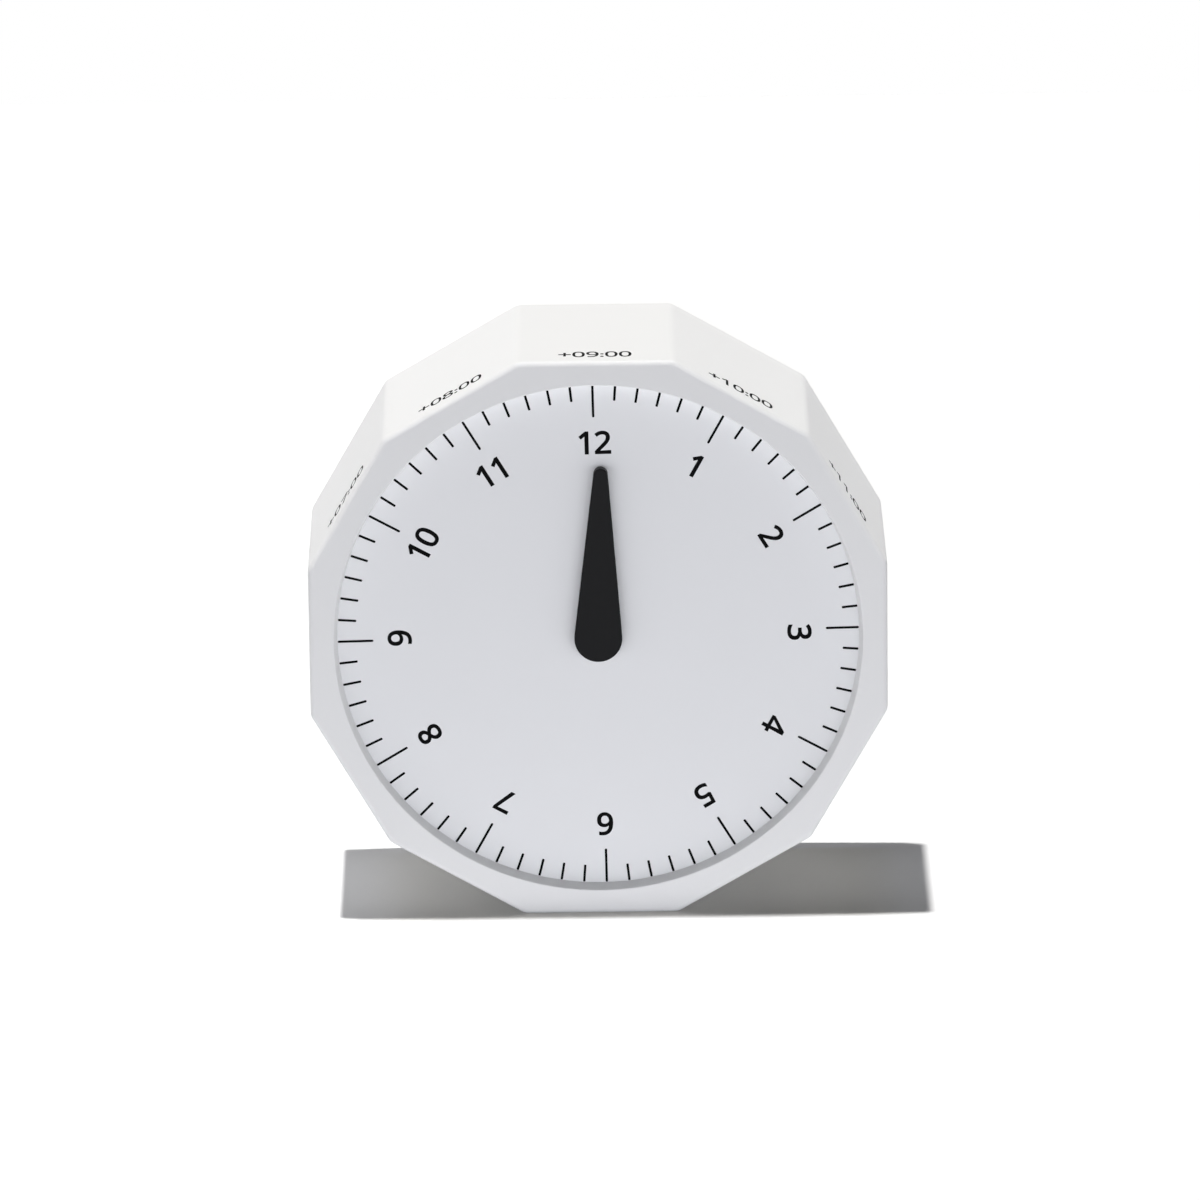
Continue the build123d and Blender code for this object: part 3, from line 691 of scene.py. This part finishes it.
# Painted light: extra glow that lightens the left part of the shadow.
painted_left_light = 0.145
left_full, left_none = -60 * mm, -5 * mm
speck_size = 60 * mm
bounce_grey = (0.772, 0.777, 0.805, 1)
paper_dull, paper_bright = (0.985, 0.988, 0.993, 1), (0.993, 0.996, 1.0, 1)
# Painted shade: a warmer grey for the paper inside the shadow.
painted_shadow_tint = (0.985, 0.968, 0.905, 1)


def build_floor(graph):
    seen = graph.node("ShaderNodeLightPath", output="Is Camera Ray")
    x = graph.part(graph.place(), "X")
    y = graph.part(graph.place(), "Y")
    aside = graph.node("ShaderNodeMath", {"operation": "ABSOLUTE"}, {0: x - shadow_x})
    along = graph.node("ShaderNodeMath", {"operation": "ABSOLUTE"}, {0: y - shadow_y})
    # Painted shadow: under the clock the glow is taken away, and towards the left a painted light is added
    # back.
    painted_shadow_mask = graph.fall(aside, core_x, rim_x) * graph.fall(along, core_y, rim_y)
    glow = paper_glow - painted_shadow_mask * paper_glow + graph.fall(x, left_full, left_none) * painted_left_light
    paper = graph.blend(graph.noise(speck_size), paper_dull, paper_bright)
    return {
        # Inside the shadow the paper takes the painted warm tint of the shade.
        "Base Color": graph.blend(seen, bounce_grey, graph.blend(painted_shadow_mask, paper, painted_shadow_tint)),
        "Roughness": 0.9,
        "Specular IOR Level": 0.0,
        "Emission Color": seen * glow,
        "Emission Strength": 1.0,
    }


# %% Floor
floor_size = 1.2
nothing_selected()
bpy.ops.mesh.primitive_plane_add(size=floor_size)
floor = bpy.context.object
floor.name = "floor"
coat(floor, finish("floor white", build_floor))
print(f"floor of {floor_size} m")

# %% [markdown]
# ## The room and the lamp
#
# The camera sees a white room, and so do reflections in shiny pieces. The light that the room gives is
# another one: a low ring at the horizon, strong in front, weaker behind and weakest at the sides, in a room
# that is nearly dark. It lights the upright front and hardly the floor, so the shadow stays dark. The lamp
# is a sun with a small disc, almost straight above, a little to the left and behind.

# %% World
room_dim = 0.03
ring_full, ring_end = 0.015, 0.1
ring_sides = 2.5
ring_lean = 0.3
ring_ends = 10.3
ring_front = 5.6
room_tint = (0.93, 0.945, 1.0, 1)

studio = bpy.data.worlds.new("studio")
bpy.context.scene.world = studio
graph = Graph(studio)
rays = graph.node("ShaderNodeLightPath", output="Is Camera Ray")
rays = rays + graph.node("ShaderNodeLightPath", output="Is Glossy Ray")
rays = rays + graph.node("ShaderNodeLightPath", output="Is Transmission Ray")
direction = graph.node("ShaderNodeTexCoord", output="Generated")
across = graph.part(direction, "X")
backwards = graph.part(direction, "Y")
height = graph.part(direction, "Z")
low = graph.fall(height, ring_full, ring_end) * (height > 0)
ends = backwards * backwards * backwards * backwards * (ring_ends - backwards * ring_front)
glow = room_dim + low * (ring_sides + across * ring_lean + ends)
room = graph.node("ShaderNodeBackground", {}, {"Color": room_tint, "Strength": glow})
white = graph.node("ShaderNodeBackground", {}, {"Color": (1, 1, 1, 1), "Strength": 1.0})
seen_room = graph.node("ShaderNodeMixShader", {}, {0: rays, 1: room, 2: white})
graph.node("ShaderNodeOutputWorld", {}, {"Surface": seen_room})
print("world has", len(studio.node_tree.nodes), "nodes")

# %% Lamp
lamp_strength = 2.94
lamp_disc = radians(1.8)
lamp_tint = (1.0, 0.99, 0.975)
lamp_from = Vector((-6.6, 1.5, 55.0))

nothing_selected()
bpy.ops.object.light_add(type="SUN")
lamp = bpy.context.object
lamp.name = "overhead lamp"
lamp.data.energy = lamp_strength
lamp.data.angle = lamp_disc
lamp.data.color = lamp_tint
lamp.rotation_euler = lamp_from.to_track_quat("Z", "Y").to_euler()
print("lamp leans", [round(part, 3) for part in lamp_from.normalized()])

# %% [markdown]
# ## Camera
#
# A long lens from about two metres, looking down by some seventeen degrees. The numbers come from fitting
# the corners of the case and the circle of the dial in the photograph, so that the drawn and the real
# outlines fall on each other.

# %% Directions of the camera
distance = 1.953
down = radians(17.39)
side = radians(0.08)
lean = radians(-0.69)
looked_at = Vector((0.43 * mm, 0, 56.51 * mm))

right = Vector((1, 0, 0))
right.rotate(Matrix.Rotation(-side, 3, "Z"))
ahead = Vector((0, 1, 0))
ahead.rotate(Matrix.Rotation(-side, 3, "Z"))
ahead.rotate(Matrix.Rotation(-down, 3, right))
upward = right.cross(ahead)
roll = Matrix.Rotation(-lean, 3, ahead)
right.rotate(roll)
upward.rotate(roll)
print("camera looks along", [round(part, 3) for part in ahead])

# %% Camera
sensor_width = 36
photo_pixels = 1200
focal_pixels = 10175
view_end = 50

nothing_selected()
bpy.ops.object.camera_add()
camera = bpy.context.object
camera.data.sensor_width = sensor_width
camera.data.lens = focal_pixels / photo_pixels * sensor_width
camera.data.clip_end = view_end
axes = Matrix((right, upward, -ahead)).transposed().to_4x4()
camera.matrix_world = Matrix.Translation(looked_at - ahead * distance) @ axes
bpy.context.scene.camera = camera
bpy.context.scene.view_settings.view_transform = "Standard"
print("camera stands at", [round(part, 3) for part in camera.matrix_world.translation])
